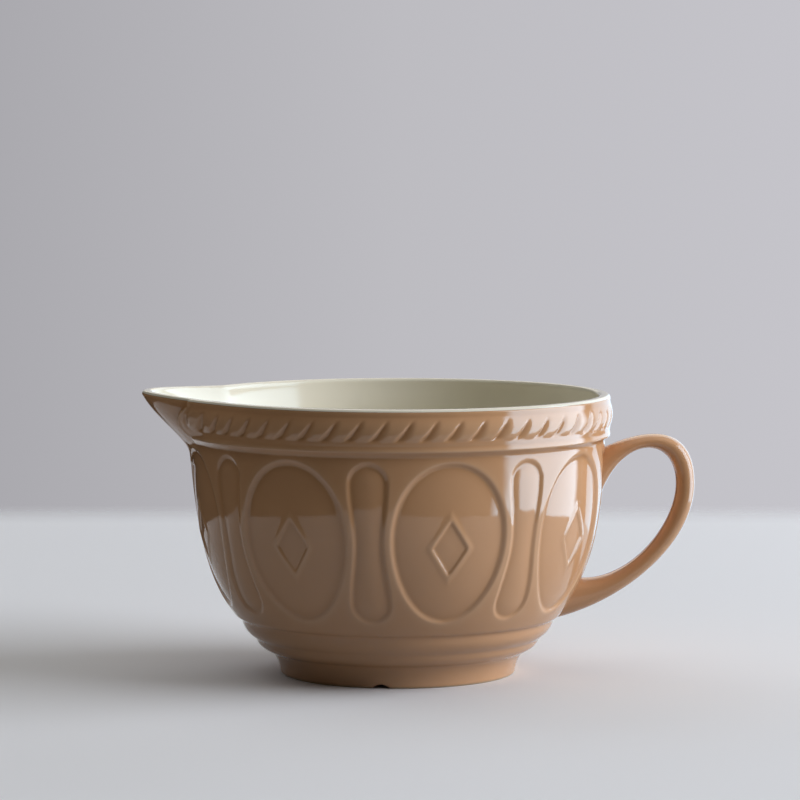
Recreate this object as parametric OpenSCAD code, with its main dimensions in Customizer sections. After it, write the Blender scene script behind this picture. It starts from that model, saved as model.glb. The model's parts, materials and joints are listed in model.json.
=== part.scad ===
// Batter bowl in moulded cane stoneware: one cast body with a pouring lip, one applied
// loop handle, and the white glaze that lines the inside and the top of the rim.
// Z points up and the origin is the middle of the foot's underside. The pouring lip
// points to -X and the handle to +X. Directions round the bowl are counted from +X.

/* [Bowl] */
// Height of the rim above the table
rim_h = 135; // [128:1:150]
// Outside diameter of the wall under the rope band
wall_d = 199.8; // [192:0.2:215]
// Thickness of the wall, glaze included
wall_t = 5.6; // [4.5:0.1:7]
// Thickness of the floor, glaze included
floor_t = 7; // [5:0.1:9]
// Outside diameter at the wall's lower edge
hem_d = 159.2; // [154:0.2:166]
// Height of the underside that turns in below the wall's lower edge
hem_h = 2.9; // [2:0.1:4]

/* [Rim and rope band] */
// Height of the raised band under the rim
band_h = 19.5; // [17:0.1:24]
// How far the plain edges of the band stand out from the wall
band_out = 2.6; // [2:0.1:4]
// How far the strands swell beyond the edges of the band
strand_swell = 1.2; // [0.6:0.1:1.6]
// Height of the plain strip under the strands
strip_h = 4; // [2.5:0.1:6]
// Height of the cove between the wall and the band
cove_h = 2.8; // [1.5:0.1:4]
// Thickness of the rim at its top
rim_t = 5.6; // [4.6:0.1:7]
// Radius of the rounded edges of the rim
rim_edge = 1.8; // [1:0.1:2.2]
// Number of strands in the rope
strands = 56; // [40:1:64]
// Lean of the strands from upright
strand_lean = 35; // [20:1:45]
// Depth of the grooves between the strands
groove_depth = 1.3; // [0.6:0.1:1.6]
// Width of a groove near its lower end, from where it narrows to its upper tip
groove_w = 6; // [4:0.1:7]
// Length of the grooves between the strands
groove_len = 13.6; // [9:0.1:14]
// Direction of the first groove
groove_phase = 2.2; // [0:0.1:6]

/* [Ovals and lozenges] */
// Number of ovals, with as many lozenges between them
repeats = 8; // [6:1:8]
// Direction of the first oval
oval_phase = 14.5; // [0:0.5:45]
// Plain wall between the band's cove and the ovals
web_top = 2.4; // [1.5:0.1:8]
// Plain wall between the ovals and the wall's lower edge
web_low = 4.6; // [3:0.1:8]
// Width of an oval
oval_w = 54.8; // [40:0.2:56]
// How much an oval widens above its middle and narrows below
oval_egg_share = 0.1; // [0:0.01:0.2]
// Width of a lozenge at its round ends
lozenge_w = 19.2; // [12:0.2:20]
// Width of a lozenge at its waist
waist_w = 14.2; // [8:0.2:18]
// Depth of the sunk edge round an oval
oval_depth = 1.5; // [0.8:0.1:1.9]
// Depth of the sunk edge round a lozenge
lozenge_depth = 1.3; // [0.8:0.1:1.7]
// Depth of the crown of each cushion below the wall
crown_depth = 0.4; // [0.2:0.05:0.7]
// Width of the diamond in each oval, over its ridge
diamond_w = 20; // [14:0.2:26]
// Height of the diamond, over its ridge
diamond_h = 30.6; // [20:0.2:40]
// How far the middle of the diamond sits below the middle of the oval
diamond_drop = 1.8; // [0:0.1:4]
// Width of the ridge of the diamond
ridge_w = 1.7; // [1:0.1:2.5]
// Height of the ridge above the cushion
ridge_h = 0.6; // [0.3:0.05:0.8]

/* [Ledges and foot] */
// Outside diameter of the upper ledge
upper_ledge_d = 150.8; // [148:0.2:153]
// Height of the upper ledge
upper_ledge_h = 9.7; // [8:0.1:11]
// Outside diameter of the lower ledge
lower_ledge_d = 137; // [132:0.2:140]
// Height of the lower ledge
lower_ledge_h = 6.5; // [5:0.1:8]
// Diameter of the neck between the lower ledge and the foot
neck_d = 122; // [118:0.2:126]
// Height of the foot
foot_h = 10.6; // [9:0.1:12]
// Outside diameter of the foot where it stands
foot_d = 114; // [108:0.2:117]
// Width of the ring that the bowl stands on
foot_ring_w = 6.5; // [5:0.1:9]
// Depth of the hollow under the floor
foot_hollow = 4; // [2.5:0.1:5]
// Radius of the outer lower edge of the foot
foot_edge = 0.8; // [0.4:0.1:1.2]
// Width of the drain notch in the foot ring
notch_w = 9; // [5:0.1:12]
// Height of the drain notch
notch_h = 2; // [1:0.1:2.5]
// Direction of the drain notch
notch_angle = -98; // [-180:1:180]

/* [Pouring lip] */
// How far the pouring lip reaches beyond the wall
lip_reach = 23.5; // [18:0.1:28]
// Height of the pouring lip, from its root in the wall to the rim
lip_drop = 33; // [30:0.5:36]
// Thickness of the pouring lip
lip_t = 4; // [3.5:0.1:5]
// How far the tip of the lip rises above the rim
lip_rise = 1.8; // [0:0.1:3]
// Radius of the rounded tip, seen from above
beak_tip_r = 30; // [24:0.5:34]
// Radius of the beak where it grows out of the wall
beak_root_r = 50; // [40:0.5:60]
// Half angle that the sides of the beak open at
beak_angle = 29; // [22:0.5:32]

/* [Handle] */
// Distance from the axis of the bowl to the outermost point of the handle
handle_reach = 143.4; // [136:0.2:152]
// Distance of the top of the handle below the rim
handle_drop = 19.2; // [14:0.2:22]
// Distance of the middle of the upper root below the band
upper_root_drop = 17.7; // [15.5:0.1:20]
// Height of the middle of the lower root above the wall's lower edge
lower_root_rise = 6.3; // [4.5:0.1:8]
// Thickness of the handle, from the fingers outward
handle_t = 9; // [7.5:0.1:11]
// Width of the handle across the fingers
handle_w = 16; // [13:0.1:20]
// Thickness of the upper root
upper_root_t = 25; // [20:0.5:27]
// Thickness of the lower root
lower_root_t = 20; // [16:0.5:22]
// Width of both roots
root_w = 21; // [18:0.5:25]

/* [Glaze] */
// Thickness of the white glaze
glaze_t = 0.5; // [0.3:0.05:0.8]

/* [Hidden] */
cane = "#b98c65";
cream = "#e9e6da";
over = 1;
round_faces = 120;
wall_steps = 12;
oval_sides = 44;
waist_steps = 6;
cap_steps = 8;
nose_steps = 9;
handle_steps = 30;
handle_sides = 16;
// How deep the lip and the handle are let into the wall, and the flush clay round a root
lip_bed = 1.2;
root_bed = 3;
pad_edge = 2;

wall_r = wall_d / 2;
hem_r = hem_d / 2;
band_r = wall_r + band_out;
band_z = rim_h - band_h;
wall_top = band_z - cove_h;
ledge_z = foot_h + lower_ledge_h;
sill_z = ledge_z + upper_ledge_h;
hem_z = sill_z + hem_h;
floor_z = foot_hollow + floor_t;
panel_h = wall_top - hem_z - web_top - web_low;
panel_z = hem_z + web_low + panel_h / 2;
diamond_z = panel_z - diamond_drop;
handle_top = rim_h - handle_drop;
upper_root_z = wall_top - upper_root_drop;
lower_root_z = hem_z + lower_root_rise;
mouth_r = band_r - rim_t;
beak_tip = wall_r + lip_reach;
beak_back = wall_r * 0.8;
rise_start = wall_r * 0.88;

// Points on a curve that handles pull towards themselves
function pull3(a, b, c, d, t) =
  pow(1 - t, 3) * a + 3 * pow(1 - t, 2) * t * b + 3 * (1 - t) * t * t * c + pow(t, 3) * d;
function pull2(a, b, c, t) = pow(1 - t, 2) * a + 2 * (1 - t) * t * b + t * t * c;
function mix(a, b, t) = a + (b - a) * t;
function parts(n, first = 0) = [for (i = [first:n]) i / n];

// The outside of the wall, from t = 0 under the band to t = 1 at the hem, and the
// same curve moved into the clay
shoulder = [mix(wall_r, hem_r, 0.02), mix(wall_top, hem_z, 0.27)];
hip = [mix(wall_r, hem_r, 0.08), mix(wall_top, hem_z, 0.71)];
function wall_point(t) = pull3([wall_r, wall_top], shoulder, hip, [hem_r, hem_z], t);
function wall_inside(t, depth) =
  let (run = wall_point(t + 0.01) - wall_point(t - 0.01))
  wall_point(t) + depth * [run[1], -run[0]] / norm(run);

// Half outline of the outside, from the axis over the foot to the rim
foot_line = [
  [0, foot_hollow],
  [foot_d / 2 - foot_ring_w - foot_hollow / 2, foot_hollow],
  [foot_d / 2 - foot_ring_w, 0],
  for (a = [-90:30:0]) [foot_d / 2 - foot_edge + foot_edge * cos(a), foot_edge + foot_edge * sin(a)],
  for (t = parts(4, 1)) pull2([foot_d / 2, foot_edge], [mix(foot_d, neck_d, 0.15) / 2, foot_h * 0.6],
    [neck_d / 2, foot_h], t),
];
ledge_line = [
  for (t = parts(5, 1)) pull2([neck_d / 2, foot_h], [lower_ledge_d / 2, foot_h + lower_ledge_h * 0.4],
    [lower_ledge_d / 2, ledge_z], t),
  for (t = parts(5, 1)) pull2([lower_ledge_d / 2, ledge_z], [upper_ledge_d / 2, ledge_z + upper_ledge_h * 0.4],
    [upper_ledge_d / 2, sill_z], t),
  for (t = parts(3, 1)) pull2([upper_ledge_d / 2, sill_z], [mix(hem_d, upper_ledge_d, 0.2) / 2, sill_z + hem_h * 0.3],
    [hem_r, hem_z], t),
];
wall_line = [for (t = parts(wall_steps, 1)) wall_point(1 - t)];
band_line = [
  for (t = parts(4, 1)) pull2([wall_r, wall_top], [wall_r, band_z], [band_r, band_z], t),
  for (t = parts(6)) [band_r + strand_swell * sin(180 * t), mix(band_z + strip_h, rim_h - 2 * rim_edge, t)],
];
rim_line = [
  for (a = [0:30:90]) [band_r - rim_edge + rim_edge * cos(a), rim_h - rim_edge + rim_edge * sin(a)],
  [0, rim_h],
];

// Half outline of the hollow, let into the clay by the thickness of a coat of glaze
function hollow_line(coat) =
  let (
    low = wall_inside(1, wall_t - coat),
    floor_level = floor_z - coat,
    edge_r = mouth_r + rim_edge,
    edge = rim_edge - coat,
    bowl_turn = [mix(low[0], 0, 0.13), mix(low[1], floor_level, 0.65)]
  ) [
    [0, rim_h + over],
    [edge_r, rim_h + over],
    for (a = [90:30:180]) [edge_r + edge * cos(a), rim_h - rim_edge + edge * sin(a)],
    for (t = parts(wall_steps)) wall_inside(t, wall_t - coat),
    for (t = parts(8, 1)) pull3(low, bowl_turn, [low[0] * 0.62, floor_level], [0, floor_level], t),
  ];

module turned(outline) rotate_extrude($fn = round_faces) polygon(outline);

// A closed solid through a stack of rings that have equally many points each
module loft(rings) {
  n = len(rings[0]);
  top = n * (len(rings) - 1);
  polyhedron(
    points = [for (ring = rings) each ring],
    faces = [
      [for (i = [0:n - 1]) i],
      for (k = [0:n:top - 1], i = [0:n - 1])
        let (a = k + i, b = k + (i + 1) % n) each [[a, a + n, b], [b, a + n, b + n]],
      [for (i = [n - 1:-1:0]) top + i],
    ]
  );
}

// Plan of the beak at one level: a rounded nose whose sides open at beak_angle, closed
// straight across inside the bowl. It tilts up towards the tip, the more the higher it is.
function rise(x) = lip_rise * (x - rise_start) / (beak_tip - rise_start);
function beak_plan(nose, nose_r, z, tilt, back = beak_back) = [
  for (i = [-nose_steps:nose_steps])
    let (run = (nose - back) * pow(i / nose_steps, 2))
    [run - nose, -sign(i) * sqrt(2 * nose_r * run + pow(tan(beak_angle) * run, 2)), z + tilt * rise(nose - run)]
];
function swell(t) = mix(pow(t, 1.5), pow(sin(90 * t), 2), 0.55);
function beak_radius(t) = mix(beak_root_r, beak_tip_r, t);
beak_rings = [
  for (t = parts(8))
    beak_plan(mix(wall_r - lip_bed, beak_tip, swell(t)), beak_radius(t),
      mix(rim_h - lip_drop, rim_h - rim_edge, t), t),
  for (a = [30:30:90])
    beak_plan(beak_tip - rim_edge + rim_edge * cos(a), beak_tip_r, rim_h - rim_edge + rim_edge * sin(a), 1),
];
function channel_rings(coat) = [
  for (t = parts(8))
    beak_plan(mix(wall_r - wall_t - lip_bed, beak_tip - lip_t, swell(t)) + coat,
      beak_radius(t) - lip_t * 0.8 + coat, mix(rim_h - lip_drop + lip_t - coat, rim_h, t), t),
  beak_plan(beak_tip - lip_t + coat, beak_tip_r - lip_t * 0.8 + coat, rim_h + lip_rise + over, 0),
];

// Everything inside the finished bowl, grown by a coat of glaze
module hollow(coat) {
  turned(hollow_line(coat));
  loft(channel_rings(coat));
}

// The space above the clay of the rim and of the tilted lip, which the white glaze fills
module above_rim() {
  function lid_ring(grow, z, tilt) = beak_plan(beak_tip + grow, beak_tip_r, z, tilt, rise_start + (over - grow) / 2);
  difference() {
    translate([0, 0, rim_h - glaze_t]) cylinder(h = lip_rise + over, r = band_r + over, $fn = round_faces);
    loft([lid_ring(over * 0.2, rim_h - 2 * over, 0), lid_ring(over * 0.2, rim_h + lip_rise + 2 * over, 0)]);
  }
  loft([lid_ring(over, rim_h - glaze_t, 1), lid_ring(over, rim_h + lip_rise + over, 0)]);
}

// Outlines of the panels, seen from outside, with their middle at the origin
function oval_outline() = [
  for (i = [0:oval_sides - 1]) let (a = 360 * i / oval_sides)
    [oval_w / 2 * cos(a) * (1 + oval_egg_share * sin(a)), panel_h / 2 * sin(a)]
];
function lozenge_outline() =
  let (
    end_r = lozenge_w / 2,
    end_z = panel_h / 2 - end_r,
    side = [for (t = parts(waist_steps, 1 - waist_steps)) if (t < 1)
      [mix(waist_w, lozenge_w, pow(sin(90 * t), 2)) / 2, end_z * t]],
    cap = [for (i = [0:cap_steps]) let (a = 180 * i / cap_steps) [end_r * cos(a), end_z + end_r * sin(a)]]
  ) concat(side, cap, -side, -cap);
function diamond_outline(inset) =
  let (w = diamond_w / 2, h = diamond_h / 2, share = 1 - inset * norm([w, h]) / (w * h))
  share * [[w, 0], [0, h], [-w, 0], [0, -h]];

// A straight cut from outside, square to the wall at direction +X
module cut_in(z) translate([wall_r * 0.6, 0, z]) rotate([90, 0, 90]) linear_extrude(wall_r * 0.6) children();

// The cushion that fills a panel: the wall's own curve, drawn in towards the panel's
// edges until it is edge_depth deep all round
module cushion(half_w, edge_depth, lift = 0) {
  fall = edge_depth - crown_depth;
  across_r = 1 / (1 / wall_r + 2 * fall / pow(half_w, 2));
  back = min(wall_r - across_r, hem_r - half_w * 1.5);
  translate([back, 0, 0]) turned([
    [0, hem_z],
    for (t = parts(wall_steps)) let (p = wall_point(1 - t))
      [p[0] - back - crown_depth + lift - fall * pow(2 * (p[1] - panel_z) / panel_h, 2), p[1]],
    [0, wall_top],
  ]);
}
module oval_cut() difference() {
  cut_in(panel_z) polygon(oval_outline());
  cushion(oval_w / 2, oval_depth);
  intersection() {
    cut_in(diamond_z) difference() {
      polygon(diamond_outline(0));
      polygon(diamond_outline(ridge_w));
    }
    cushion(oval_w / 2, oval_depth, ridge_h);
  }
}
module lozenge_cut() difference() {
  cut_in(panel_z) polygon(lozenge_outline());
  cushion(lozenge_w / 2, lozenge_depth);
}
module panels() for (i = [0:repeats - 1]) {
  rotate([0, 0, oval_phase + 360 * i / repeats]) oval_cut();
  rotate([0, 0, oval_phase + 360 * (i - 0.5) / repeats]) lozenge_cut();
}

// The grooves between the strands. Each leans over, is deepest and widest near its lower
// end, and has one steep side and one broad one.
module grooves() {
  middle = (band_z + strip_h + rim_h - 2 * rim_edge) / 2;
  wide_z = groove_len * 0.22;
  for (i = [0:strands - 1]) rotate([0, 0, groove_phase + 360 * i / strands])
    translate([band_r + strand_swell, 0, middle]) rotate([-strand_lean, 0, 0]) translate([0, 0, -groove_len / 2])
      polyhedron(
        points = [
          [-strand_swell * 0.7, 0, 0],
          [strand_swell, -groove_w * 0.28, wide_z],
          [-groove_depth - strand_swell * 0.5, 0, wide_z],
          [strand_swell, groove_w * 0.72, wide_z],
          [-strand_swell * 0.7, 0, groove_len],
        ],
        faces = [[0, 2, 1], [0, 3, 2], [0, 1, 3], [4, 1, 2], [4, 2, 3], [4, 3, 1]]
      );
}

// Clay that stays flush with the wall under each root of the handle
module root_pads() for (pad = [[upper_root_z, upper_root_t], [lower_root_z, lower_root_t]])
  translate([wall_r * 0.5, 0, pad[0]]) rotate([0, 90, 0])
    cylinder(h = wall_r, d = max(pad[1], root_w) + pad_edge, $fn = 64);

module notch() {
  notch_r = (pow(notch_w / 2, 2) + pow(notch_h, 2)) / (2 * notch_h);
  rotate([0, 0, notch_angle]) translate([foot_d / 2 - 2 * foot_ring_w, 0, notch_h - notch_r]) rotate([0, 90, 0])
    cylinder(h = 3 * foot_ring_w, r = notch_r, $fn = 64);
}

bowl_line = concat(foot_line, ledge_line, wall_line, band_line, rim_line);
module bowl_body() color(cane) difference() {
  union() {
    difference() {
      turned(bowl_line);
      difference() {
        panels();
        root_pads();
      }
      grooves();
    }
    loft(beak_rings);
  }
  hollow(glaze_t);
  above_rim();
  notch();
}

// The handle's outer and inner edge in the plane y = 0: each is two curves that meet at
// the outermost point. Shares count outward from the wall and up from the lower root.
outer_edge_shares = [[0.43, 1.03], [1, 1.075], [1, 0.69], [1, 0.34], [0.25, -0.02]];
inner_edge_shares = [[0.21, 1.14], [1, 1.11], [1, 0.78], [1, 0.48], [0.29, 0.06]];
function edge_point(shares, reach, top, start, end, u) =
  let (q = [for (s = shares) [mix(wall_r, reach, s[0]), mix(lower_root_z, top, s[1])]])
  u < 0.5 ? pull3(start, q[0], q[1], q[2], 2 * u) : pull3(q[2], q[3], q[4], end, 2 * u - 1);
function outer_edge(u) = edge_point(outer_edge_shares, handle_reach, handle_top,
  [wall_r - root_bed, upper_root_z + upper_root_t / 2], [hem_r - root_bed, lower_root_z - lower_root_t / 2], u);
function inner_edge(u) = edge_point(inner_edge_shares, handle_reach - handle_t, handle_top - handle_t,
  [wall_r - root_bed, upper_root_z - upper_root_t / 2],
  [mix(hem_r, wall_r, 0.2), lower_root_z + lower_root_t / 2], u);
function soft(x) = sign(x) * pow(abs(x), 0.8);
function handle_ring(u) =
  let (
    o = outer_edge(u),
    i = inner_edge(u),
    half_w = mix(handle_w, root_w, pow(2 * u - 1, 4)) / 2
  ) [
    for (k = [0:handle_sides - 1]) let (a = -360 * k / handle_sides, p = mix(i, o, (1 + soft(cos(a))) / 2))
      [p[0], half_w * soft(sin(a)), p[1]]
  ];
module handle() color(cane) difference() {
  loft([for (u = parts(handle_steps)) handle_ring(u)]);
  turned(bowl_line);
}

module inside_glaze() color(cream) difference() {
  intersection() {
    union() {
      hollow(glaze_t);
      above_rim();
    }
    union() {
      turned(bowl_line);
      loft(beak_rings);
    }
  }
  hollow(0);
}

bowl_body();
handle();
inside_glaze();
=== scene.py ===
# Batter bowl in cane stoneware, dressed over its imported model. Metres, Z up, pouring lip towards -X.
import json
import math

import bpy
import numpy as np
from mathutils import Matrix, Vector

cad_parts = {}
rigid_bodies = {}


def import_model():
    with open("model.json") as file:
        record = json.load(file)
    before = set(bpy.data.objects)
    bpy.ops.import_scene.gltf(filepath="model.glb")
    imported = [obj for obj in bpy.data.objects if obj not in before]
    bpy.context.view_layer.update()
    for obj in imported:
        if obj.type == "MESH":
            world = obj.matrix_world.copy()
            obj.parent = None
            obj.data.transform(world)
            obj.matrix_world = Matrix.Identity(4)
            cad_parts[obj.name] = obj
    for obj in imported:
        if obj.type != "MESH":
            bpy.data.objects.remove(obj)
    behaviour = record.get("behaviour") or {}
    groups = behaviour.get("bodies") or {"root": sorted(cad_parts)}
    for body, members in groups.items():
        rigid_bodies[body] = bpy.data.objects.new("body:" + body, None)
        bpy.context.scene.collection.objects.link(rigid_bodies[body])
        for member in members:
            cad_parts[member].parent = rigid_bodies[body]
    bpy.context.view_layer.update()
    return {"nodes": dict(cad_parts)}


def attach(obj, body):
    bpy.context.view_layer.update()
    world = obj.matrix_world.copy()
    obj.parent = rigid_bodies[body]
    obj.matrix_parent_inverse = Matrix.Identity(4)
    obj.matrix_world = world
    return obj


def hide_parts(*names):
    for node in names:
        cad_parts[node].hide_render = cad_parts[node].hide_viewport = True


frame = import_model()
print("frame loaded")

mm = 0.001


def mix(a, b, t):
    return a + (b - a) * t


def ease(t):  # 0 to 1, slow at both ends
    t = np.clip(t, 0, 1)
    return t * t * (3 - 2 * t)


def softMax(a, b, width):  # the larger of two, with a fillet where they cross
    h = np.clip(0.5 + 0.5 * (a - b) / width, 0, 1)
    return b + (a - b) * h + width * h * (1 - h)


def pull3(a, b, c, d, t):  # a curve from a to d, drawn towards b and c
    a, b, c, d = (np.asarray(p, float) for p in (a, b, c, d))
    t = np.asarray(t, float)[..., None]
    return (1 - t) ** 3 * a + 3 * (1 - t) ** 2 * t * b + 3 * (1 - t) * t * t * c + t ** 3 * d


def pull2(a, b, c, t):
    a, b, c = (np.asarray(p, float) for p in (a, b, c))
    t = np.asarray(t, float)[..., None]
    return (1 - t) ** 2 * a + 2 * (1 - t) * t * b + t * t * c


def linear(hexColour):  # an sRGB hex value as linear RGBA
    parts = [int(hexColour[i:i + 2], 16) / 255 for i in (1, 3, 5)]
    return [p / 12.92 if p <= 0.04045 else ((p + 0.055) / 1.055) ** 2.4 for p in parts] + [1.0]


def addNode(tree, kind, settings=None, inputs=None, links=None):
    node = tree.nodes.new(kind)
    for key, value in (settings or {}).items():
        setattr(node, key, value)
    for key, value in (inputs or {}).items():
        node.inputs[key].default_value = value
    for key, source in (links or {}).items():
        tree.links.new(source, node.inputs[key])
    return node


# A skin over closed rings of points, given in mm as rows x columns x 3
def meshFromRings(name, rings, closeStart=False, closeEnd=False):
    rows, columns, _ = rings.shape
    points = rings.reshape(-1, 3) * mm
    r = np.arange(rows - 1)[:, None] * columns
    c = np.arange(columns)[None, :]
    n = (c + 1) % columns
    quads = np.stack([r + c, r + n, r + n + columns, r + c + columns], -1).reshape(-1, 4)
    faces = quads.tolist()
    extra = []
    if closeStart:
        extra.append(rings[0].mean(0) * mm)
        hub = rows * columns
        faces += [[hub, (i + 1) % columns, i] for i in range(columns)]
    if closeEnd:
        extra.append(rings[-1].mean(0) * mm)
        hub = rows * columns + len(extra) - 1
        base = (rows - 1) * columns
        faces += [[hub, base + i, base + (i + 1) % columns] for i in range(columns)]
    if extra:
        points = np.concatenate([points, np.array(extra)])
    mesh = bpy.data.meshes.new(name)
    mesh.from_pydata(points.tolist(), [], faces)
    mesh.update()
    mesh.polygons.foreach_set("use_smooth", [True] * len(mesh.polygons))
    piece = bpy.data.objects.new(name, mesh)
    bpy.context.collection.objects.link(piece)
    return piece


def setAttribute(piece, name, values):
    data = piece.data.attributes.new(name, "FLOAT", "POINT")
    full = np.zeros(len(piece.data.vertices))
    full[:len(values)] = values
    data.data.foreach_set("value", full)


# The bowl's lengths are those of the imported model, in mm. A pull places a curve's pulling point, as shares
# across and along it.
bowl = dict(
    rimHeight=135.0, wallDiameter=199.8, wallThickness=5.6, floorThickness=7.0,
    hemDiameter=159.2, hemHeight=2.9, bandHeight=19.5, bandOut=2.6, coveHeight=2.8,
    rimThickness=5.6, rimEdge=1.8,
    upperLedgeDiameter=150.8, upperLedgeHeight=9.7, lowerLedgeDiameter=137.0, lowerLedgeHeight=6.5,
    neckDiameter=122.0, footHeight=10.6, footDiameter=114.0, footRing=6.5, footHollow=4.0, footEdge=0.8,
    notchWidth=9.0, notchHeight=2.0, notchAngle=-98.0, glazeThickness=0.5,
    shoulderPull=(0.02, 0.27), hipPull=(0.08, 0.71), neckPull=(0.15, 0.6), ledgePull=0.4, hemPull=(0.2, 0.3),
    turnPull=(0.87, 0.65), floorPull=0.62,
)
# How finely the skins are made, and how far the glaze rounds their corners, in mm
skin = dict(
    columns=896, step=0.25, lowStep=0.75, insideStep=1.0, curvePoints=24, wallPoints=120, turnPoints=50,
    hollowRows=9, hollowSlopeRows=8, ringRows=7, coveRows=7, bandRows=32, wallRows=104, mouthRows=26,
    wallBlur=0.45, ledgeBlur=1.0, ledgeFade=3.0, footKept=1.0, footFade=2.0, insideBlur=1.2,
    centreHole=6.0, hollowGap=0.6, mouthGap=0.3,
)
wallR = bowl["wallDiameter"] / 2
hemR = bowl["hemDiameter"] / 2
bandR = wallR + bowl["bandOut"]
rimH = bowl["rimHeight"]
bandZ = rimH - bowl["bandHeight"]
wallTop = bandZ - bowl["coveHeight"]
ledgeZ = bowl["footHeight"] + bowl["lowerLedgeHeight"]
sillZ = ledgeZ + bowl["upperLedgeHeight"]
hemZ = sillZ + bowl["hemHeight"]
floorZ = bowl["footHollow"] + bowl["floorThickness"]
mouthR = bandR - bowl["rimThickness"]
rimEdge = bowl["rimEdge"]
rimZ = rimH - rimEdge  # where the rim starts to round
shoulder, hip = [(mix(wallR, hemR, across), mix(wallTop, hemZ, down))
                 for across, down in (bowl["shoulderPull"], bowl["hipPull"])]
slopeReach = 0.01  # how far along the wall its slope is taken
angles = np.radians(np.arange(skin["columns"]) * 360 / skin["columns"])
degrees = np.degrees(angles)


def wallPoint(t):
    return pull3((wallR, wallTop), shoulder, hip, (hemR, hemZ), t)


def wallInside(t, depth):
    run = wallPoint(np.asarray(t) + slopeReach) - wallPoint(np.asarray(t) - slopeReach)
    run /= np.linalg.norm(run, axis=-1, keepdims=True)
    return wallPoint(t) + depth * np.stack([run[..., 1], -run[..., 0]], -1)


def resample(points, step):  # even steps along a line
    points = np.asarray(points, float)
    run = np.r_[0, np.cumsum(np.linalg.norm(np.diff(points, axis=0), axis=1))]
    count = max(2, int(round(run[-1] / step)) + 1)
    at = np.linspace(0, run[-1], count)
    return np.stack([np.interp(at, run, points[:, i]) for i in (0, 1)], -1)


def soften(points, width):  # rounds the corners of an evenly stepped line, as glaze does
    step = np.linalg.norm(points[1] - points[0])
    reach = int(np.ceil(2.5 * width / step))  # beyond that the weights are near zero
    weight = np.exp(-0.5 * (np.arange(-reach, reach + 1) * step / width) ** 2)
    weight /= weight.sum()
    padded = np.concatenate([
        2 * points[0] - points[reach:0:-1], points, 2 * points[-1] - points[-2:-reach - 2:-1]])
    return np.stack([np.convolve(padded[:, i], weight, "valid") for i in (0, 1)], -1)


# The lip is a beak that comes out of the wall, in mm and in degrees from -X. The rope band ends beside it,
# at bandEnd.
lip = dict(
    reach=23.5, drop=33.0, thickness=4.0, rise=1.8, riseStart=0.88, riseEase=0.12,
    tipRadius=30.0, rootRadius=50.0, halfAngle=29.0, widest=43.0, plunge=60.0, startsBelow=6.0,
    swellPower=1.5, swellRound=0.55, bed=1.2, noseThinning=0.8, rimWidens=1.6, fillet=3.0, insideFillet=1.6,
    bandEnd=15.5, bandEndLean=7.5,
)
lipTip = wallR + lip["reach"]
beakPhi = angles - math.pi  # angle from -X


def beakRadius(nose, noseR):  # distance from the axis to a beak outline, at each column
    phi = np.clip(np.abs(beakPhi), 0, math.radians(lip["widest"]))
    q = np.tan(phi) ** 2
    a = math.tan(math.radians(lip["halfAngle"])) ** 2 - q
    b = 2 * noseR + 2 * q * nose
    run = 2 * q * nose ** 2 / (b + np.sqrt(b * b + 4 * a * q * nose ** 2))
    return (nose - run) / np.cos(phi)


def beakSwell(t):  # how far out the beak has come, from its root to its tip
    t = np.clip(t, 0, 1)
    return mix(t ** lip["swellPower"], np.sin(math.pi / 2 * t) ** 2, lip["swellRound"])


def beakOutside(z):
    t = (z - (rimH - lip["drop"])) / (lip["drop"] - rimEdge)
    nose = mix(wallR - lip["bed"], lipTip, beakSwell(t)) + lip["plunge"] * min(t, 0)
    return beakRadius(nose, mix(lip["rootRadius"], lip["tipRadius"], np.clip(t, 0, 1)))


def beakInside(z):
    start = rimH - lip["drop"] + lip["thickness"]
    t = (z - start) / (rimH - start)
    low = wallR - bowl["wallThickness"] - lip["bed"]
    nose = mix(low, lipTip - lip["thickness"], beakSwell(t)) + lip["plunge"] * min(t, 0)
    noseR = mix(lip["rootRadius"], lip["tipRadius"], np.clip(t, 0, 1))
    return beakRadius(nose, noseR - lip["thickness"] * lip["noseThinning"])


# Moulded ornament, in mm: depth is at a panel's edge and crown at its middle
ovals = dict(
    count=8, phase=14.5, height=76.0, middle=72.3, width=54.8, egg=0.1, depth=1.5, crown=0.4, slope=2.7)
lozenges = dict(width=19.2, waist=14.2, depth=1.3, crown=0.4, slope=2.5)
diamond = dict(
    width=20.0, height=30.6, middle=70.5, ridge=0.4, sink=0.42, outer=3.0, inner=1.25, lap=0.7, corner=0.6)
edgeLap = 0.5  # how far a panel's slope reaches outside its line


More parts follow.
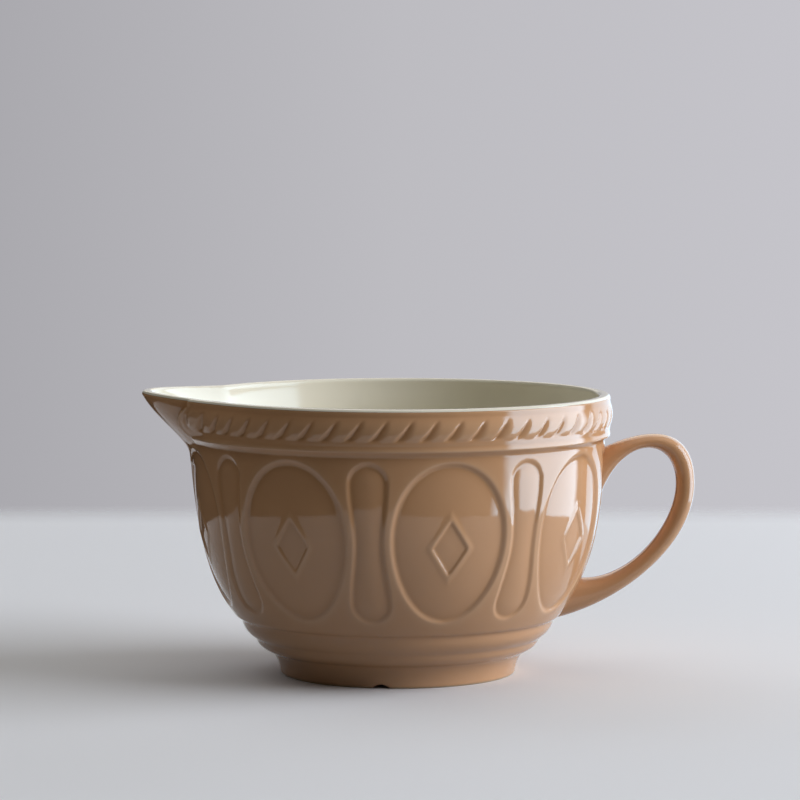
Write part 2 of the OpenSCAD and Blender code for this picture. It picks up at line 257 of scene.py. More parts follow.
def ornament(theta, z, radius):  # how far the wall is pressed in
    pitch = 360 / ovals["count"]
    half = ovals["height"] / 2
    v = z - ovals["middle"]
    turn = (theta - ovals["phase"] + pitch / 2) % pitch - pitch / 2
    u = radius * np.sin(np.radians(turn))
    width = ovals["width"] / 2 * (1 + ovals["egg"] * np.clip(v / half, -1, 1))
    share = np.sqrt((u / width) ** 2 + (v / half) ** 2) + 1e-9
    slope = np.sqrt((u / width ** 2) ** 2 + (v / half ** 2) ** 2) / share + 1e-9
    inside = (1 - share) / slope
    floor = mix(ovals["crown"], ovals["depth"], np.clip(share, 0, 1) ** 2)
    pressed = ease((inside + edgeLap) / ovals["slope"]) * floor
    w, h = diamond["width"] / 2, diamond["height"] / 2
    vd = z - diamond["middle"]
    soft = diamond["corner"]
    edge = np.sqrt(u * u + soft ** 2) / w + np.sqrt(vd * vd + soft ** 2) / h - 1
    edge = edge * w * h / math.hypot(w, h)
    ridge = ease((diamond["outer"] - diamond["lap"] - edge) / diamond["outer"]) * diamond["ridge"]
    ridge -= ease((-edge - diamond["lap"]) / diamond["inner"]) * (diamond["ridge"] + diamond["sink"])
    pressed = pressed - np.where(np.abs(u) < width, ridge, 0)

    turn = (theta - ovals["phase"]) % pitch - pitch / 2
    u = np.abs(radius * np.sin(np.radians(turn)))
    endR = lozenges["width"] / 2
    endZ = half - endR
    flare = np.sin(math.pi / 2 * np.clip(np.abs(v) / endZ, 0, 1)) ** 2
    side = mix(lozenges["waist"], lozenges["width"], flare) / 2
    inside = np.where(np.abs(v) < endZ, side - u, endR - np.hypot(u, np.abs(v) - endZ))
    across = np.clip(1 - inside / side, 0, 1)
    floor = mix(lozenges["crown"], lozenges["depth"], across ** 2)
    return pressed + ease((inside + edgeLap) / lozenges["slope"]) * floor


# The rope under the rim, in mm: slits lean between plain strips, sharp on one side and soft on the other.
# A slit opens and closes at shares of its height.
rope = dict(
    strands=56, lean=35.0, phase=2.2, swell=1.2, swellFade=6.0, strip=4.0, depth=1.3,
    sharpSide=2.3, sharpTop=1.2, sharpNarrows=1.6, softSide=5.0, softTop=2.2, softNarrows=1.05,
    opens=0.02, opensOver=0.10, closes=0.5, closesOver=0.45, lastFade=5.0,
    hook=0.9, hookShare=0.35, bead=0.28, beadAt=5.0, beadWidth=1.2,
    endLow=118.0, endHigh=131.5, endOverlap=1.5, endRound=7.0, coveHollow=0.45,
)


def ropeBand(theta, z):  # how far the band stands out from the wall
    low, high = bandZ + rope["strip"], rimH - 2 * rimEdge
    leaning = np.clip((z - rope["endLow"]) / (rope["endHigh"] - rope["endLow"]), 0, 1) ** 2
    end = lip["bandEnd"] + lip["bandEndLean"] * leaning
    beside = (np.abs(np.degrees(beakPhi)) - end) * math.radians(1) * bandR + rope["endOverlap"]
    # distance in from the band's edge
    depth = -softMax(np.full_like(beside, wallTop - z), -beside, rope["endRound"])
    rise = np.clip(depth / bowl["coveHeight"], 0, 1)
    out = bowl["bandOut"] * mix(ease(rise), 1 - np.sqrt(1 - rise ** 2), rope["coveHollow"])
    out = out - rope["bead"] * np.exp(-((depth - rope["beadAt"]) / rope["beadWidth"]) ** 2)
    inner = np.clip((depth - bowl["coveHeight"] - rope["strip"]) / (high - low), 0, 1)
    along = (z - low) / (high - low)
    swell = np.minimum(np.sin(math.pi * np.clip(along, 0, 1)),
                       np.sin(math.pi / 2 * np.clip(inner * 2, 0, 1)))
    out = out + rope["swell"] * swell * ease(inner * rope["swellFade"])
    pitch = 360 / rope["strands"]
    arc = math.radians(pitch) * bandR
    shift = (z - (low + high) / 2) * math.tan(math.radians(rope["lean"])) / arc
    at = (theta - rope["phase"]) / pitch - shift
    across = (at - np.round(at)) * arc * math.cos(math.radians(rope["lean"]))
    across = across + rope["hook"] * np.clip(1 - along / rope["hookShare"], 0, 1) ** 2
    sharpSide = mix(rope["sharpSide"], rope["sharpTop"], ease(along * rope["sharpNarrows"]))
    softSide = mix(rope["softSide"], rope["softTop"], ease(along * rope["softNarrows"]))
    groove = np.where(across < 0, ease(1 + across / sharpSide), (1 - np.clip(across / softSide, 0, 1)) ** 2)
    fade = ease((along - rope["opens"]) / rope["opensOver"]) * (
        1 - ease((along - rope["closes"]) / rope["closesOver"])) * ease(inner * rope["lastFade"])
    return out - rope["depth"] * groove * fade


# The body is one skin: from the underside, up the outside, over the rim and down behind the white glaze
def outsideLine():
    f = bowl
    footR, neckR = f["footDiameter"] / 2, f["neckDiameter"] / 2
    lowerR, upperR = f["lowerLedgeDiameter"] / 2, f["upperLedgeDiameter"] / 2
    t = np.linspace(0, 1, skin["curvePoints"])[1:]
    foot = [(footR - f["footEdge"] * (1 - math.cos(a)), f["footEdge"] * (1 + math.sin(a)))
            for a in np.radians(np.arange(-90, 1, 15))]
    across, along = f["neckPull"]
    rise = pull2((footR, f["footEdge"]), (mix(footR, neckR, across), f["footHeight"] * along),
                 (neckR, f["footHeight"]), t)
    lower = pull2((neckR, f["footHeight"]),
                  (lowerR, f["footHeight"] + f["lowerLedgeHeight"] * f["ledgePull"]), (lowerR, ledgeZ), t)
    upper = pull2((lowerR, ledgeZ),
                  (upperR, ledgeZ + f["upperLedgeHeight"] * f["ledgePull"]), (upperR, sillZ), t)
    across, along = f["hemPull"]
    hem = pull2((upperR, sillZ),
                (mix(hemR, upperR, across), sillZ + f["hemHeight"] * along), (hemR, hemZ), t)
    wall = wallPoint(np.linspace(1, 0, skin["wallPoints"])[1:])
    return np.concatenate([foot, rise, lower, upper, hem, wall])


def ring(radius, z):  # a row of points from its radius and height at each column
    x, y = radius * np.cos(angles), radius * np.sin(angles)
    start = wallR * lip["riseStart"]
    share = np.clip((-x - start) / (lipTip - start), 0, 1)
    level = np.clip((z - rimH + lip["drop"]) / lip["drop"], 0, 1)
    curl = (1 + lip["riseEase"]) * share ** 2 / (share + lip["riseEase"])
    return np.stack([x, y, z + lip["rise"] * level * curl], -1)


def notched(z):  # lifts the foot over the drain notch
    turn = np.radians(degrees - bowl["notchAngle"])
    u = np.sin(turn) * bowl["footDiameter"] / 2
    half, high = bowl["notchWidth"] / 2, bowl["notchHeight"]
    r = (half ** 2 + high ** 2) / (2 * high)
    arch = high - r + np.sqrt(np.clip(r * r - u * u, 0, None))
    return np.maximum(z, np.where((np.abs(u) < half) & (np.cos(turn) > 0), arch, 0))


outside = resample(outsideLine(), skin["step"])
blend = ease((hemZ + skin["ledgeFade"] - outside[:, 1]) / skin["ledgeFade"])
blend = (blend * ease((outside[:, 1] - skin["footKept"]) / skin["footFade"]))[:, None]
# the glaze rounds the ledges more than the wall
outside = soften(outside, skin["wallBlur"]) * (1 - blend) + soften(outside, skin["ledgeBlur"]) * blend
run = np.r_[0, np.cumsum(np.linalg.norm(np.diff(outside, axis=0), axis=1))]
lowerRun = np.interp(hemZ, outside[:, 1], run)
at = np.concatenate([
    np.arange(0, lowerRun, skin["lowStep"]), np.linspace(lowerRun, run[-1], skin["wallRows"])])
outside = np.stack([np.interp(at, run, outside[:, i]) for i in (0, 1)], -1)

rows = []
ringIn = bowl["footDiameter"] / 2 - bowl["footRing"]
hollowIn = ringIn - bowl["footHollow"] / 2
# the underside: the hollow, its slope down, and the ring that the bowl stands on
for r in np.linspace(skin["centreHole"], hollowIn - skin["hollowGap"], skin["hollowRows"]):
    rows.append(ring(r, bowl["footHollow"]))
for t in np.linspace(0, 1, skin["hollowSlopeRows"]):
    rows.append(ring(mix(hollowIn, ringIn, t), notched(mix(bowl["footHollow"], 0, ease(t)))))
for r in np.linspace(ringIn, outside[0][0], skin["ringRows"])[1:-1]:
    rows.append(ring(r, notched(0)))
outsideStart = len(rows)

# up the outside, with what is pressed into the wall, and over the band, with the rope that stands out
bandLevels = np.concatenate([
    np.linspace(wallTop, bandZ, skin["coveRows"])[1:], np.linspace(bandZ, rimZ, skin["bandRows"])[1:]])
pressedRows, bandRows = [], []
for r, z in outside:
    pressed = ornament(degrees, z, r)
    radius = r - pressed
    if z > rimH - lip["drop"] - lip["startsBelow"]:
        radius = softMax(beakOutside(z), radius, lip["fillet"])
    rows.append(ring(radius, notched(z)))
    pressedRows.append(-pressed)
for z in bandLevels:
    face = softMax(beakOutside(z), np.full_like(angles, wallR), lip["fillet"])
    band = ropeBand(degrees, z)
    rows.append(ring(face + band, z))
    bandRows.append(band)
rimOut = np.linalg.norm(rows[-1][:, :2], axis=1)
rimIn = softMax(beakInside(rimZ), np.full_like(angles, mouthR), lip["insideFillet"])
# beside the lip the rim is cut at a slant, and so is wider
slant = np.clip((rimOut - rimIn) / bowl["rimThickness"], 1, lip["rimWidens"])
coat = bowl["glazeThickness"]
clayEdge = rimEdge - coat  # the clay's own rounding, under the white
for a in np.radians((15, 30, 45, 60, 75, 90)):
    rows.append(ring(rimOut - rimEdge * slant * (1 - math.cos(a)), rimZ + clayEdge * math.sin(a)))
    bandRows.append(bandRows[-1])
for a in np.radians((90, 60, 30, 0)):
    rows.append(ring(rimIn + coat + clayEdge * (1 - math.cos(a)) * slant, rimZ + clayEdge * math.sin(a)))


def insideRing(r, z, behind=0.0):  # a row of the inside, or of the clay that far behind it
    radius = np.full_like(angles, r + behind)
    if z > rimH - lip["drop"] - lip["startsBelow"]:
        radius = softMax(beakInside(z) + behind, radius, lip["insideFillet"])
    return ring(radius, z)


# The inside follows the wall at an even thickness, narrows to the mouth and turns into the flat floor
topIn = wallInside(np.array(0.0), bowl["wallThickness"])
lowIn = wallInside(np.array(1.0), bowl["wallThickness"])
wallIn = wallInside(np.linspace(0, 1, skin["wallPoints"] // 2), bowl["wallThickness"])
across, along = bowl["turnPull"]
turnIn = pull3(lowIn, (lowIn[0] * across, mix(lowIn[1], floorZ, along)),
               (lowIn[0] * bowl["floorPull"], floorZ), (skin["centreHole"], floorZ),
               np.linspace(0, 1, skin["turnPoints"])[1:])
mouthLevels = np.linspace(rimZ, wallTop, skin["mouthRows"])[1:]
mouthLevels = mouthLevels[mouthLevels > topIn[1] + skin["mouthGap"]]  # stops short of the wall's first point
mouthRadii = mix(mouthR, topIn[0], ease((rimZ - mouthLevels) / (rimZ - topIn[1])))
mouthLine = np.stack([mouthRadii, mouthLevels], -1)
insideLine = np.concatenate([[(mouthR, rimZ)], mouthLine, wallIn, turnIn])
insideLine = soften(resample(insideLine, skin["insideStep"]), skin["insideBlur"])

for r, z in insideLine[1::2]:  # the clay behind the white glaze
    rows.append(insideRing(r, z - (coat if r < lowIn[0] else 0), coat))
body = meshFromRings("glazed_bowl_body", np.array(rows), closeStart=True, closeEnd=True)

# How thick the cane glaze lies, which also paints shade: darker in hollows and paler over edges, partly the
# glaze's own pooling and partly painted shade in the hollows and painted highlight over the edges
poolAndShade = dict(perMm=1.1, reach=3, rounds=3)  # its reach is in rows and columns
relief = np.array(pressedRows + bandRows)
blurred = relief.copy()
reach, width = poolAndShade["reach"], 2 * poolAndShade["reach"] + 1
for _ in range(poolAndShade["rounds"]):
    blurred = sum(np.roll(blurred, s, 1) for s in range(-reach, reach + 1)) / width
    padded = np.concatenate([blurred[:1]] * reach + [blurred] + [blurred[-1:]] * reach)
    blurred = sum(padded[s:s + len(relief)] for s in range(width)) / width
thickness = np.zeros(len(rows) * skin["columns"])
# darker where the wall lies below its blurred surroundings and paler where it stands above them: painted
# shade in hollows and painted highlight on edges, beside the glaze's own pooling
poolAndShadeRows = np.clip((blurred - relief) * poolAndShade["perMm"], -1, 1)
start = outsideStart * skin["columns"]
thickness[start:start + poolAndShadeRows.size] = poolAndShadeRows.ravel()
setAttribute(body, "poolingAndShade", thickness)
print("bowl body:", len(body.data.polygons), "faces")

# White glaze: the skin of the inside and of the rim's top, which stops part way down the rim's outside
whiteProud = 0.02  # mm that it stands over the cane glaze there
glazeRows = []
for a in np.radians((24, 36, 48, 62, 76, 90)):
    edge = rimOut - rimEdge * slant * (1 - math.cos(a)) + whiteProud
    glazeRows.append(ring(edge, rimZ + rimEdge * math.sin(a)))
for a in np.radians((90, 75, 60, 45, 30, 15, 0)):
    glazeRows.append(ring(rimIn + rimEdge * slant * (1 - math.cos(a)), rimZ + rimEdge * math.sin(a)))
for r, z in insideLine[1:]:
    glazeRows.append(insideRing(r, z))
glaze = meshFromRings("white_inside_glaze", np.array(glazeRows), closeEnd=True)
glaze.data.flip_normals()
print("white glaze:", len(glaze.data.polygons), "faces")

# Handle: a loop between an outer and an inner line, each two curves end to end, in mm. The shares place a
# line's pulling points between the wall and its reach, and between the lower root and its top.
grip = dict(
    reach=143.4, top=115.8, upperRoot=95.0, lowerRoot=36.0, thickness=9.0, width=16.0, squareness=0.85,
    upperRootThickness=25.0, lowerRootThickness=20.0, rootWidth=21.0, bed=3.0, innerStart=0.2,
    rings=120, sides=40,
    outerShares=((0.43, 1.03), (1, 1.075), (1, 0.69), (1, 0.34), (0.25, -0.02)),
    innerShares=((0.21, 1.14), (1, 1.11), (1, 0.78), (1, 0.48), (0.29, 0.06)),
)


def gripEdge(shares, reach, top, start, end, u):
    q = [(mix(wallR, reach, a), mix(grip["lowerRoot"], top, b)) for a, b in shares]
    if u < 0.5:
        return pull3(start, q[0], q[1], q[2], 2 * u)
    return pull3(q[2], q[3], q[4], end, 2 * u - 1)


def power(x, p):  # a power that keeps the sign
    return np.sign(x) * np.abs(x) ** p


gripRings = []
for u in np.linspace(0, 1, grip["rings"]):
    outer = gripEdge(grip["outerShares"], grip["reach"], grip["top"],
                     (wallR - grip["bed"], grip["upperRoot"] + grip["upperRootThickness"] / 2),
                     (hemR - grip["bed"], grip["lowerRoot"] - grip["lowerRootThickness"] / 2), u)
    inner = gripEdge(grip["innerShares"], grip["reach"] - grip["thickness"], grip["top"] - grip["thickness"],
                     (wallR - grip["bed"], grip["upperRoot"] - grip["upperRootThickness"] / 2),
                     (mix(hemR, wallR, grip["innerStart"]),
                      grip["lowerRoot"] + grip["lowerRootThickness"] / 2), u)
    half = mix(grip["width"], grip["rootWidth"], (2 * u - 1) ** 4) / 2
    a = np.linspace(0, 2 * math.pi, grip["sides"], endpoint=False)
    share = (1 + power(np.cos(a), grip["squareness"])) / 2
    p = inner[None] + (outer - inner)[None] * share[:, None]
    gripRings.append(np.stack([p[:, 0], half * power(np.sin(a), grip["squareness"]), p[:, 1]], -1))
handle = meshFromRings("glazed_handle", np.array(gripRings), closeStart=True, closeEnd=True)
setAttribute(handle, "poolingAndShade", np.zeros(len(handle.data.vertices)))
print("handle:", len(handle.data.polygons), "faces")

for piece, node in ((body, "bowl_body"), (glaze, "inside_glaze"), (handle, "handle")):
    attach(piece, "root")
    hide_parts(node)

# Cane glaze: a clear glaze dipped over cast stoneware and fired. It breaks pale over moulded edges and
# pools a darker honey brown in the hollows; the colour drawn from this is partly that pooling and partly
# painted shade in the hollows and painted highlight over the edges. It mirrors windows with slightly wavy
# edges. The mottle and the ripple are sizes in mm, and the ring that the foot stands on is left bare, up to
# bareUpTo mm.
caneGlaze = dict(name="Cane glaze on cast stoneware", colour="#cc9e75", thinAndHighlit="#d3aa84", pooledAndShaded="#bf9166",
                 mottle=54.0, mottleShare=0.045, ripple=10.0, rippleStrength=0.35, rippleHeight=0.2,
                 biscuit="#cdb492", biscuitRoughness=0.8, bareUpTo=0.4, bareFade=0.5,
                 roughness=0.06, ior=1.52)


def glazeMaterial(spec):
    material = bpy.data.materials.new(spec["name"])
    material.use_nodes = True
    tree = material.node_tree
    tree.nodes.clear()
    out = addNode(tree, "ShaderNodeOutputMaterial")
    place = addNode(tree, "ShaderNodeTexCoord").outputs["Object"]
    # the relief attribute: darker hollows as painted shade and paler edges as painted highlight, beside the
    # glaze's own pooling
    poolAndShade = addNode(tree, "ShaderNodeAttribute", dict(attribute_name="poolingAndShade"))
    ramp = addNode(tree, "ShaderNodeValToRGB", links=dict(Fac=addNode(
        tree, "ShaderNodeMapRange", inputs={"From Min": -1.0, "From Max": 1.0},
        links=dict(Value=poolAndShade.outputs["Fac"])).outputs["Result"]))
    ramp.color_ramp.elements[0].position = 0.15
    ramp.color_ramp.elements[0].color = linear(spec["thinAndHighlit"])
    ramp.color_ramp.elements[1].position = 0.85
    ramp.color_ramp.elements[1].color = linear(spec["pooledAndShaded"])
    ramp.color_ramp.elements.new(0.5).color = linear(spec["colour"])
    mottle = addNode(tree, "ShaderNodeTexNoise", inputs=dict(Scale=1000 / spec["mottle"], Detail=3.0),
                     links=dict(Vector=place))
    tint = addNode(tree, "ShaderNodeMapRange", links=dict(Value=mottle.outputs["Fac"]), inputs={
        "From Min": 0.3, "From Max": 0.7,  # where the noise mostly lies
        "To Min": 1 - spec["mottleShare"], "To Max": 1 + spec["mottleShare"]})
    coloured = addNode(tree, "ShaderNodeMix", dict(data_type="RGBA", blend_type="MULTIPLY"), {"Factor": 1.0},
                       links={"A": ramp.outputs["Color"], "B": tint.outputs["Result"]})
    ripple = addNode(tree, "ShaderNodeTexNoise", inputs=dict(Scale=1000 / spec["ripple"], Detail=1.0),
                     links=dict(Vector=place))
    bump = addNode(tree, "ShaderNodeBump", links=dict(Height=ripple.outputs["Fac"]), inputs=dict(
        Strength=spec["rippleStrength"], Distance=spec["rippleHeight"] * mm))
    height = addNode(tree, "ShaderNodeSeparateXYZ", links=dict(Vector=place))
    bare = addNode(tree, "ShaderNodeMapRange", links=dict(Value=height.outputs["Z"]), inputs={
        "From Min": spec["bareUpTo"] * mm, "From Max": (spec["bareUpTo"] + spec["bareFade"]) * mm,
        "To Min": 1.0, "To Max": 0.0})
    colour = addNode(tree, "ShaderNodeMix", dict(data_type="RGBA"), links={
        "Factor": bare.outputs["Result"], "A": coloured.outputs["Result"]})
    colour.inputs["B"].default_value = linear(spec["biscuit"])
    rough = addNode(tree, "ShaderNodeMapRange", links=dict(Value=bare.outputs["Result"]), inputs={
        "To Min": spec["roughness"], "To Max": spec["biscuitRoughness"]})
    shader = addNode(tree, "ShaderNodeBsdfPrincipled", inputs={"IOR": spec["ior"]},
                     links={"Base Color": colour.outputs["Result"], "Roughness": rough.outputs["Result"],
                            "Normal": bump.outputs["Normal"]})
    tree.links.new(shader.outputs["BSDF"], out.inputs["Surface"])
    return material


# White glaze: an opaque white glaze poured inside and fired. It is smooth and glassy, faintly warm, and
# clouded where it lies thicker. The cloud and the ripple are sizes in mm.
whiteGlaze = dict(name="Poured white glaze", colour="#e9e4d2", thick="#e3ddc8", cloud=45.45, ripple=18.0,
                  rippleStrength=0.3, rippleHeight=0.12, roughness=0.09, ior=1.38)


def whiteMaterial(spec):
    material = bpy.data.materials.new(spec["name"])
    material.use_nodes = True
    tree = material.node_tree
    tree.nodes.clear()
    out = addNode(tree, "ShaderNodeOutputMaterial")
    place = addNode(tree, "ShaderNodeTexCoord").outputs["Object"]
    ripple = addNode(tree, "ShaderNodeTexNoise", inputs=dict(Scale=1000 / spec["ripple"], Detail=1.0),
                     links=dict(Vector=place))
    bump = addNode(tree, "ShaderNodeBump", links=dict(Height=ripple.outputs["Fac"]), inputs=dict(
        Strength=spec["rippleStrength"], Distance=spec["rippleHeight"] * mm))
    cloud = addNode(tree, "ShaderNodeTexNoise", inputs=dict(Scale=1000 / spec["cloud"], Detail=2.0),
                    links=dict(Vector=place))
    colour = addNode(tree, "ShaderNodeMix", dict(data_type="RGBA"), links=dict(Factor=cloud.outputs["Fac"]))
    colour.inputs["A"].default_value = linear(spec["colour"])
    colour.inputs["B"].default_value = linear(spec["thick"])
    shader = addNode(tree, "ShaderNodeBsdfPrincipled",
                     inputs={"IOR": spec["ior"], "Roughness": spec["roughness"]},
                     links={"Base Color": colour.outputs["Result"], "Normal": bump.outputs["Normal"]})
    tree.links.new(shader.outputs["BSDF"], out.inputs["Surface"])
    return material


cane = glazeMaterial(caneGlaze)
white = whiteMaterial(whiteGlaze)
body.data.materials.append(cane)
handle.data.materials.append(cane)
glaze.data.materials.append(white)
for node in ("bowl_body", "handle"):
    frame["nodes"][node].data.materials.clear()
    frame["nodes"][node].data.materials.append(cane)
frame["nodes"]["inside_glaze"].data.materials.clear()
frame["nodes"]["inside_glaze"].data.materials.append(white)
print("materials done")

# Table: matt white paint, which keeps the bowl's shadow. It looks darker to light that bounces, so that the
# bowl's underside stays in shade. It fades out before its far edge and far from the bowl, and where the
# glaze mirrors it, it ends at a round edge. Lengths in metres.
table = dict(name="Matt painted table", colour="#e5e6e7", bounce="#a5a3a1", roughness=0.8, specular=0.1,
             halfWidth=6.0, near=-4.0, far=0.76, farFade=0.14, farEnd=0.01, roundFade=1.1, roundFadeWidth=0.3,
             mirroredEdge=0.40, mirroredEdgeWidth=0.006)
floorMesh = bpy.data.meshes.new("floor")
floorMesh.from_pydata([(-table["halfWidth"], table["near"], 0), (table["halfWidth"], table["near"], 0),
                       (table["halfWidth"], table["far"], 0), (-table["halfWidth"], table["far"], 0)],
                      [], [(0, 1, 2, 3)])
floor = bpy.data.objects.new("floor", floorMesh)
bpy.context.collection.objects.link(floor)


def tableMaterial(spec):
    material = bpy.data.materials.new(spec["name"])
    material.use_nodes = True
    tree = material.node_tree
    tree.nodes.clear()
    place = addNode(tree, "ShaderNodeTexCoord").outputs["Object"]
    across = addNode(tree, "ShaderNodeVectorMath", dict(operation="LENGTH"), links={
        0: place}).outputs["Value"]
    back = addNode(tree, "ShaderNodeSeparateXYZ", links=dict(Vector=place)).outputs["Y"]
    light = addNode(tree, "ShaderNodeLightPath")
    edge = addNode(tree, "ShaderNodeMapRange", links=dict(Value=across), inputs={
        "From Min": spec["mirroredEdge"], "From Max": spec["mirroredEdge"] + spec["mirroredEdgeWidth"]})
    mirrored = addNode(tree, "ShaderNodeMath", dict(operation="MULTIPLY"), links={
        0: edge.outputs["Result"], 1: light.outputs["Is Glossy Ray"]})
    slow = dict(interpolation_type="SMOOTHSTEP")
    behind = addNode(tree, "ShaderNodeMapRange", slow, links=dict(Value=back), inputs={
        "From Min": spec["far"] - spec["farFade"], "From Max": spec["far"] - spec["farEnd"]})
    around = addNode(tree, "ShaderNodeMapRange", slow, links=dict(Value=across), inputs={
        "From Min": spec["roundFade"], "From Max": spec["roundFade"] + spec["roundFadeWidth"]})
    away = addNode(tree, "ShaderNodeMath", dict(operation="MAXIMUM"), links={
        0: behind.outputs["Result"], 1: around.outputs["Result"]})
    seen = addNode(tree, "ShaderNodeMath", dict(operation="MULTIPLY"), links={
        0: away.outputs["Value"], 1: light.outputs["Is Camera Ray"]})
    gone = addNode(tree, "ShaderNodeMath", dict(operation="MAXIMUM"), links={
        0: mirrored.outputs["Value"], 1: seen.outputs["Value"]})
    colour = addNode(tree, "ShaderNodeMix", dict(data_type="RGBA"), links=dict(
        Factor=light.outputs["Is Diffuse Ray"]))
    colour.inputs["A"].default_value = linear(spec["colour"])
    colour.inputs["B"].default_value = linear(spec["bounce"])
    paint = addNode(tree, "ShaderNodeBsdfPrincipled", links={"Base Color": colour.outputs["Result"]}, inputs={
        "Roughness": spec["roughness"], "Specular IOR Level": spec["specular"]})
    clear = addNode(tree, "ShaderNodeBsdfTransparent")
    both = addNode(tree, "ShaderNodeMixShader", links={
        0: gone.outputs["Value"], 1: paint.outputs["BSDF"], 2: clear.outputs["BSDF"]})
    addNode(tree, "ShaderNodeOutputMaterial", links=dict(Surface=both.outputs["Shader"]))
    return material


floor.data.materials.append(tableMaterial(table))
print("table done")

# The room: a grey paper backdrop for the camera, with painted light on it that makes it darker on the left
# and lighter on the right, plain walls and ceiling for light on the bowl, and a dark room with two window
# panes for what the glaze mirrors. Directions in degrees: from -Y towards +X, and up.
# A pane is its two sides and its strength, and the skylight, behind the bowl, its two heights and strength.
room = dict(
    # the paper's colours from left to right: painted shade on the left and painted light on the right, from
    # the window side
    paper=("#aaa9ae", "#bdbcc1", "#c5c4ca"), paperSpan=0.115,
    walls="#efe6d8", wallStrength=0.05,
    ceiling="#f3ede3", ceilingStrength=0.7, ceilingFrom=42.0, ceilingFull=66.0,
    dark="#15110d", mirroredPaper="#bdbcc1", paperFrom=164.0, paperSoft=3.0,
    window="#cdeaff", sill=-45.0, head=42.0, soft=2.5,
    panes=((62.0, 119.0, 6.8), (129.0, 172.0, 1.9)), skylight=(10.0, 50.0, 1.4),
)


def between(tree, value, low, high, soft):  # 1 where a value lies between two bounds
    rise = addNode(tree, "ShaderNodeMapRange", inputs={"From Min": low - soft, "From Max": low + soft},
                   links=dict(Value=value))
    fall = addNode(tree, "ShaderNodeMapRange", inputs={"From Min": high + soft, "From Max": high - soft},
                   links=dict(Value=value))
    return addNode(tree, "ShaderNodeMath", dict(operation="MULTIPLY"), links={
        0: rise.outputs["Result"], 1: fall.outputs["Result"]}).outputs["Value"]


world = bpy.data.worlds.new("room")
bpy.context.scene.world = world
world.use_nodes = True
tree = world.node_tree
tree.nodes.clear()
towards = addNode(tree, "ShaderNodeSeparateXYZ", links=dict(
    Vector=addNode(tree, "ShaderNodeTexCoord").outputs["Generated"]))
front = addNode(tree, "ShaderNodeMath", dict(operation="MULTIPLY"), {1: -1.0}, {0: towards.outputs["Y"]})
turn = addNode(tree, "ShaderNodeMath", dict(operation="ARCTAN2"), links={
    0: towards.outputs["X"], 1: front.outputs["Value"]}).outputs["Value"]
turn = addNode(tree, "ShaderNodeMath", dict(operation="DEGREES"), links={0: turn}).outputs["Value"]
up = addNode(tree, "ShaderNodeMath", dict(operation="ARCSINE"), links={
    0: towards.outputs["Z"]}).outputs["Value"]
up = addNode(tree, "ShaderNodeMath", dict(operation="DEGREES"), links={0: up}).outputs["Value"]
aside = addNode(tree, "ShaderNodeMath", dict(operation="ABSOLUTE"), links={0: turn}).outputs["Value"]
behind = addNode(tree, "ShaderNodeMapRange", links=dict(Value=aside), inputs={
    "From Min": room["paperFrom"] - room["paperSoft"], "From Max": room["paperFrom"] + room["paperSoft"]})
overhead = addNode(tree, "ShaderNodeMapRange", links=dict(Value=up), inputs={
    "From Min": room["ceilingFrom"], "From Max": room["ceilingFull"]})

# what lights the bowl
walls = addNode(tree, "ShaderNodeBackground", inputs=dict(
    Color=linear(room["walls"]), Strength=room["wallStrength"]))
ceiling = addNode(tree, "ShaderNodeBackground", inputs=dict(
    Color=linear(room["ceiling"]), Strength=room["ceilingStrength"]))
lighting = addNode(tree, "ShaderNodeMixShader", links={
    0: overhead.outputs["Result"], 1: walls.outputs["Background"], 2: ceiling.outputs["Background"]})

# what the glaze mirrors
unlit = addNode(tree, "ShaderNodeMix", dict(data_type="RGBA"), links=dict(Factor=behind.outputs["Result"]))
unlit.inputs["A"].default_value = linear(room["dark"])
unlit.inputs["B"].default_value = linear(room["mirroredPaper"])
dark = addNode(tree, "ShaderNodeBackground", links=dict(Color=unlit.outputs["Result"]))
mirrored = addNode(tree, "ShaderNodeMixShader", links={
    0: overhead.outputs["Result"], 1: dark.outputs["Background"], 2: ceiling.outputs["Background"]})
tall = between(tree, up, room["sill"], room["head"], room["soft"])
openings = [(between(tree, turn, left, right, room["soft"]), tall, room["window"], strength)
            for left, right, strength in room["panes"]]
low, high, strength = room["skylight"]
above = between(tree, up, low, high, room["soft"])
openings.append((behind.outputs["Result"], above, room["ceiling"], strength))
for wide, high, colour, strength in openings:
    glass = addNode(tree, "ShaderNodeMath", dict(operation="MULTIPLY"), links={0: wide, 1: high})
    bright = addNode(tree, "ShaderNodeBackground", inputs=dict(Color=linear(colour), Strength=strength))
    mirrored = addNode(tree, "ShaderNodeMixShader", links={
        0: glass.outputs["Value"], 1: mirrored.outputs["Shader"], 2: bright.outputs["Background"]})

# what the camera sees behind the table: the paper, with painted light that darkens it to the left and
# lightens it to the right
paper = addNode(tree, "ShaderNodeValToRGB", links=dict(Fac=addNode(
    tree, "ShaderNodeMapRange", inputs={"From Min": -room["paperSpan"], "From Max": room["paperSpan"]},
    links=dict(Value=towards.outputs["X"])).outputs["Result"]))
left, middle, right = (linear(colour) for colour in room["paper"])
paper.color_ramp.elements[0].color = left
paper.color_ramp.elements[1].color = right
paper.color_ramp.elements.new(0.5).color = middle
shown = addNode(tree, "ShaderNodeBackground", links=dict(Color=paper.outputs["Color"]))

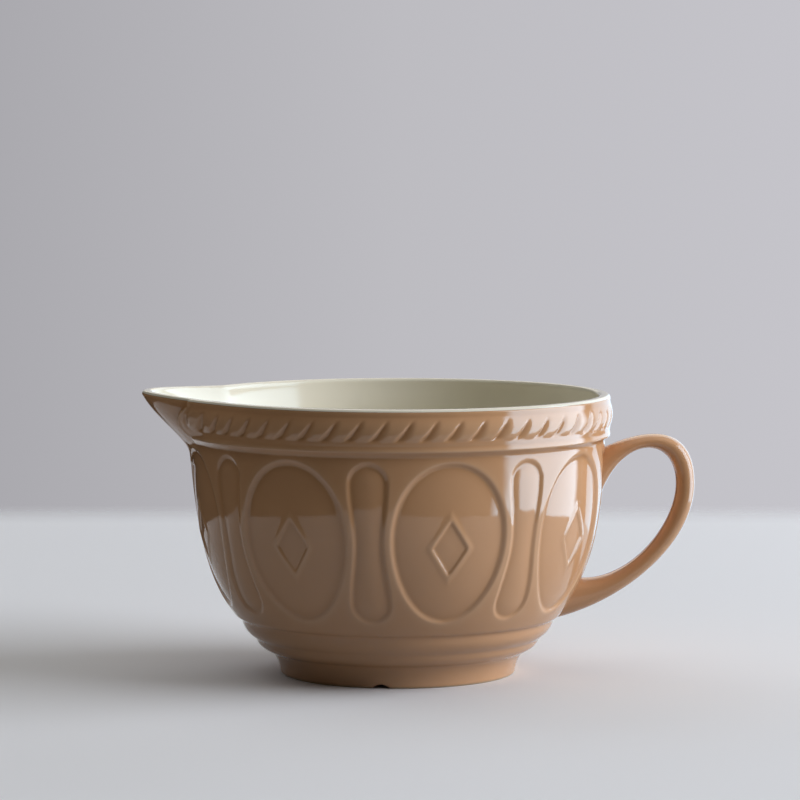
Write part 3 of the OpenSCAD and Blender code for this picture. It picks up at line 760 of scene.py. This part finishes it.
rays = addNode(tree, "ShaderNodeLightPath")
both = addNode(tree, "ShaderNodeMixShader", links={
    0: rays.outputs["Is Glossy Ray"], 1: lighting.outputs["Shader"], 2: mirrored.outputs["Shader"]})
both = addNode(tree, "ShaderNodeMixShader", links={
    0: rays.outputs["Is Camera Ray"], 1: both.outputs["Shader"], 2: shown.outputs["Background"]})
addNode(tree, "ShaderNodeOutputWorld", links=dict(Surface=both.outputs["Shader"]))
print("room done")

# The lamps stand for the windows: where they are, their width and height in metres, and watts
lamps = dict(target=(0.0, 0.0, 0.07), colour="#f1f5ff", windows=(
    ((2.58, -0.29, 1.14), (2.6, 1.7), 103.0),  # the large window, from the right
    ((1.1, 1.9, 0.9), (1.2, 1.2), 8.0),  # a weak one behind
    ((-1.60, 2.10, 1.90), (3.0, 3.0), 26.0)))  # a broad fill for the far side


def windowLamp(name, place, size, power):
    data = bpy.data.lights.new(name, "AREA")
    data.shape = "RECTANGLE"
    data.size, data.size_y = size
    data.energy = power
    data.color = linear(lamps["colour"])[:3]
    lamp = bpy.data.objects.new(name, data)
    lamp.location = place
    lamp.rotation_euler = (Vector(lamps["target"]) - Vector(place)).to_track_quat("-Z", "Y").to_euler()
    lamp.visible_glossy = False  # the room's windows stand for it in the glaze
    lamp.visible_camera = False
    bpy.context.collection.objects.link(lamp)


for number, (place, size, power) in enumerate(lamps["windows"]):
    windowLamp(f"window_{number + 1}", place, size, power)

# The camera of the photograph. Pixels are those of an 800 x 800 picture, and the sensor is in mm.
view = dict(place=(0.0, -1.6965, 0.26556), pitch=4.516, focalPixels=3527.1, axisPixel=397.7, picture=800,
            sensor=36)
cameraData = bpy.data.cameras.new("camera")
cameraData.sensor_width = view["sensor"]
cameraData.lens = view["focalPixels"] * view["sensor"] / view["picture"]
cameraData.shift_x = (view["picture"] / 2 - view["axisPixel"]) / view["picture"]
camera = bpy.data.objects.new("camera", cameraData)
camera.location = view["place"]
camera.rotation_euler = (math.radians(90 - view["pitch"]), 0, 0)
bpy.context.collection.objects.link(camera)
bpy.context.scene.camera = camera
bpy.context.scene.view_settings.view_transform = "Standard"
print("lamps and camera done")
